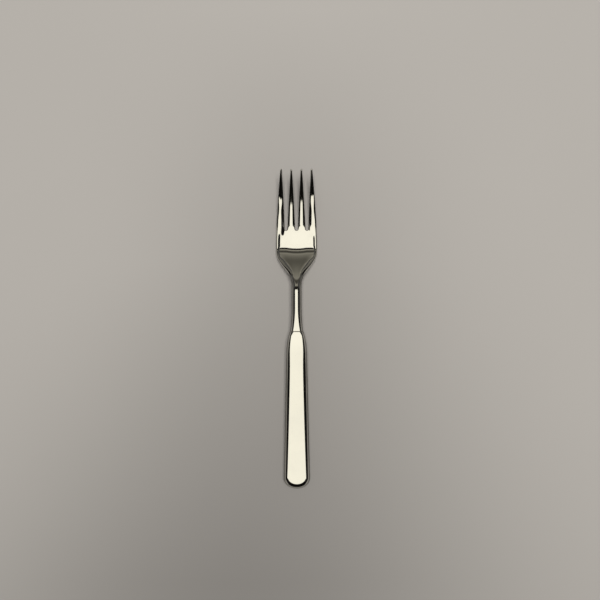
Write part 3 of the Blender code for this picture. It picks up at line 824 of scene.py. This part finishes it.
def makeMouthBraze():
    # hollow in the middle, where the braze has drawn back into the joint
    bm = bmesh.new()
    half, edge = braze["ringThick"] / 2, handleEdge(0.0)
    hollow, inner = braze["ringHollow"], handle["wall"] - braze["ringRecess"]
    section = ((0.0, half), (hollow, half / 2), (hollow, -half / 2), (0.0, -half))
    section += ((inner, -half), (inner, half))
    loops = []
    for deeper, y in section:
        inset = braze["ringRecess"] + deeper
        halfW, halfT = handle["mouthWidth"] / 2 - inset, handle["mouthThick"] / 2 - inset
        loops.append(addLoop(bm, sectionLoop(halfW, halfT, edge - inset, braze["ringSteps"]), y))
    for n, loop in enumerate(loops):
        joinLoops(bm, loops[n - 1], loop)
    finishPiece("mouthBraze", bm, mouthMetal, "mouth_braze")


makeSeamBraze()
makeMouthBraze()

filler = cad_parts["handle_filler"]     # hidden inside the handle, and right as it is
filler.data.materials.clear()
filler.data.materials.append(cementMix)
print("handle_filler: cement")


# Table

tableLook = {
    "size": 4.0,
    "colour": (0.430, 0.409, 0.384),
    # a broad soft shade along the fork, deeper and wider towards the butt
    "shadeFrom": 0.175, "shadeGain": 1.47, "shadeMost": 0.46,
    "widthFrom": 0.038, "width": 0.071, "widening": 0.42,
    "middle": -0.0035, "drift": 0.15,
    # and a small one between the tines
    "tineShade": 0.20, "tineAt": 0.071, "tineWidth": 0.0085, "tineRun": 0.010,
    "mottle": 0.03, "mottleScale": 9.0, "mottleFrom": 0.985,
    "roughness": 0.85, "specular": 0.1,
}


def makeTable():
    half = tableLook["size"] / 2
    bm = bmesh.new()
    corners = ((-half, -half), (half, -half), (half, half), (-half, half))
    bm.faces.new([bm.verts.new((x, y, 0.0)) for x, y in corners])
    mesh = bpy.data.meshes.new("table")
    bm.to_mesh(mesh)
    bm.free()
    table = bpy.data.objects.new("table", mesh)
    scene.collection.objects.link(table)
    material, g = newMaterial("tableTop")
    place = g.add("ShaderNodeTexCoord", out="Object")
    x = g.add("ShaderNodeSeparateXYZ", {}, {0: place}, "X")
    y = g.add("ShaderNodeSeparateXYZ", {}, {0: place}, "Y")
    depth = (tableLook["shadeFrom"] - y) * tableLook["shadeGain"]
    depth = g.maths("MINIMUM", g.maths("MAXIMUM", depth, 0.0), tableLook["shadeMost"])
    below = g.maths("MAXIMUM", tableLook["widthFrom"] - y, 0.0)
    width = tableLook["width"] + below * tableLook["widening"]
    off = (x - tableLook["middle"] + below * tableLook["drift"]) / width
    shade = depth * g.maths("EXPONENT", -(off * off))
    aside, ahead = x / tableLook["tineWidth"], (y - tableLook["tineAt"]) / tableLook["tineRun"]
    tineShade = g.maths("EXPONENT", -(aside * aside + ahead * ahead)) * tableLook["tineShade"]
    mottle = tableLook["mottleFrom"] + place.noise(tableLook["mottleScale"]) * tableLook["mottle"]
    level = (1 - shade) * (1 - tineShade) * mottle
    colour = g.add("ShaderNodeVectorMath", {"operation": "SCALE"}, {0: tableLook["colour"], "Scale": level})
    inputs = {"Base Color": colour, "Roughness": tableLook["roughness"]}
    inputs["Specular IOR Level"] = tableLook["specular"]
    shader = g.add("ShaderNodeBsdfPrincipled", {}, inputs)
    g.add("ShaderNodeOutputMaterial", {}, {"Surface": shader})
    mesh.materials.append(material)
    print(f"table: {tableLook['size']} m wide")


makeTable()


# Studio: one wide soft panel above, dark flags round it, a pale backdrop at the horizon

studio = {
    # all angles are in degrees
    "backdrop": (0.42, 0.40, 0.365), "mirroredBackdrop": 0.7, "horizonFrom": 2.0, "horizonTo": 9.0,
    "dome": 0.15,
    "panel": (1.315, 1.276, 1.124),
    "panelLeft": 32.0, "panelRight": 24.5, "panelSoft": 1.0,
    # flags beside it, dark next to the panel and paler towards the horizon
    "flagFrom": 57.0, "flagTo": 87.0,
    "dark": 0.008,
    "pale": 0.12,
    "warmth": (1.03, 1.0, 0.94),         # of the darks
    # they turn grey on the tines' side, and stay dark down to the horizon on the butt's side
    "greyFrom": 4.0, "greyTo": 36.0, "grey": 0.085,
    "darkFrom": 12.0, "darkTo": 30.0,
    # in the gaps between the flags, at the four corners, the backdrop shows higher up
    "gapWidth": (0.84, 0.97), "gapHeight": (13.0, 19.0), "gapLevel": 0.8,
    # a glow low on the tines' side, left and right of the middle, which lights the rim of the shoulders
    "glow": 1.2, "glowFrom": 11.0, "glowTo": 23.0, "glowAhead": (51.0, 58.0),
    # greys by angle off the zenith, from the butt's side (minus) to the tines' side (plus)
    "greys": (
        (-90.0, 0.20), (-82.0, 0.08), (-76.0, 0.003), (-25.8, 0.003), (-24.2, 0.955), (-10.0, 0.955),
        (-3.0, 1.0), (5.85, 1.0), (7.05, 0.006), (17.2, 0.006), (19.2, 0.24), (24.7, 0.24), (28.2, 0.05),
        (38.2, 0.05), (43.2, 0.205), (49.2, 0.160), (64.2, 0.072), (74.0, 0.12), (90.0, 0.30),
    ),
    "lampSize": (0.8, 0.8),
    "lampAt": (0.1, 0.3, 2.0),
    "lampPower": 40.3,
    "lampColour": (1.0, 0.985, 0.955),
}


def warm(grey):
    return tuple(grey * mix(tint, 1.0, grey) for tint in studio["warmth"])


def rampPlace(angle):
    # -90 to 90 degrees as 0 to 1
    return (angle + 90.0) / 180.0


def makeStudio():
    world = bpy.data.worlds.new("studio")
    scene.world = world
    world.use_nodes = True
    world.node_tree.nodes.clear()
    g = Wire(world.node_tree)
    way = g.add("ShaderNodeTexCoord", out="Generated")
    x = g.add("ShaderNodeSeparateXYZ", {}, {0: way}, "X")
    y = g.add("ShaderNodeSeparateXYZ", {}, {0: way}, "Y")
    z = g.add("ShaderNodeSeparateXYZ", {}, {0: way}, "Z")
    inDegrees = degrees(1.0)
    alongAngle = g.maths("ARCTAN2", y, z) * inDegrees
    sideAngle = g.maths("ARCTAN2", x, z) * inDegrees
    elevation = g.maths("ARCSINE", z) * inDegrees

    stops = [(rampPlace(angle), warm(grey)) for angle, grey in studio["greys"]]
    greys = g.add("ShaderNodeValToRGB", {"stops": stops}, {"Fac": rampPlace(alongAngle)})
    strip = g.add("ShaderNodeMix", {"data_type": "RGBA", "blend_type": "MULTIPLY"},
                  {"Factor": 1.0, 6: greys, 7: rgba(studio["panel"])}, 2)
    aside = g.maths("ABSOLUTE", sideAngle)
    glow = aside.step(studio["glowFrom"], studio["glowTo"]) * alongAngle.step(*studio["glowAhead"])
    brighter = 1 + glow * studio["glow"]
    strip = g.add("ShaderNodeVectorMath", {"operation": "SCALE"}, {0: strip, "Scale": brighter})
    soft = studio["panelSoft"]
    toRight = sideAngle.step(studio["panelRight"] - soft, studio["panelRight"] + soft)
    toLeft = (-sideAngle).step(studio["panelLeft"] - soft, studio["panelLeft"] + soft)
    low = aside.step(studio["flagFrom"], studio["flagTo"])
    low = low * (1 - (-alongAngle).step(studio["darkFrom"], studio["darkTo"]))
    flags = alongAngle.step(studio["greyFrom"], studio["greyTo"])
    flags = flags.blend(rgba(warm(studio["dark"])), rgba(warm(studio["grey"])))
    flags = low.blend(flags, rgba(warm(studio["pale"])))
    seen = (toRight + toLeft).blend(strip, flags)
    # 1 at the diagonals, 0 at the sides
    corners = g.maths("ABSOLUTE", x * y) * 2 / (x * x + y * y)
    gaps = corners.step(*studio["gapWidth"]) * (1 - elevation.step(*studio["gapHeight"]))
    seen = gaps.blend(seen, rgba(studio["backdrop"], studio["gapLevel"]))
    aboveHorizon = elevation.step(studio["horizonFrom"], studio["horizonTo"])
    seen = aboveHorizon.blend(rgba(studio["backdrop"], studio["mirroredBackdrop"]), seen)

    camera = g.add("ShaderNodeLightPath", out="Is Camera Ray")
    glossy = g.add("ShaderNodeLightPath", out="Is Glossy Ray")
    through = g.add("ShaderNodeLightPath", out="Is Transmission Ray")
    mirrored = g.maths("MAXIMUM", glossy, through)
    colour = mirrored.blend(rgba((studio["dome"],) * 3), seen)
    colour = camera.blend(colour, rgba(studio["backdrop"]))
    background = g.add("ShaderNodeBackground", {}, {"Color": colour})
    g.add("ShaderNodeOutputWorld", {}, {"Surface": background})

    light = bpy.data.lights.new("softPanel", "AREA")
    light.shape = "RECTANGLE"
    light.size, light.size_y = studio["lampSize"]
    light.energy = studio["lampPower"]
    light.color = studio["lampColour"]
    lamp = bpy.data.objects.new("softPanel", light)
    lamp.location = studio["lampAt"]
    lamp.visible_glossy = False
    scene.collection.objects.link(lamp)


makeStudio()
print("studio: panel, flags and backdrop")


# Camera straight above, as the photograph was taken

shot = {
    "height": 0.320, "pixels": 600, "pixel": 0.0005468,      # a pixel's width on the table
    "across": 0.00182, "along": 0.016554, "roll": radians(-0.09), "clipStart": 0.01,
}
cameraData = bpy.data.cameras.new("overhead")
cameraData.sensor_fit = "HORIZONTAL"
cameraData.angle = 2 * atan(shot["pixels"] / 2 * shot["pixel"] / shot["height"])
cameraData.clip_start = shot["clipStart"]
overhead = bpy.data.objects.new("overhead", cameraData)
overhead.location = (shot["across"], shot["along"], shot["height"])
overhead.rotation_euler = (0.0, 0.0, shot["roll"])
scene.collection.objects.link(overhead)
scene.camera = overhead
scene.view_settings.view_transform = "Standard"
print("camera:", overhead.location[:])
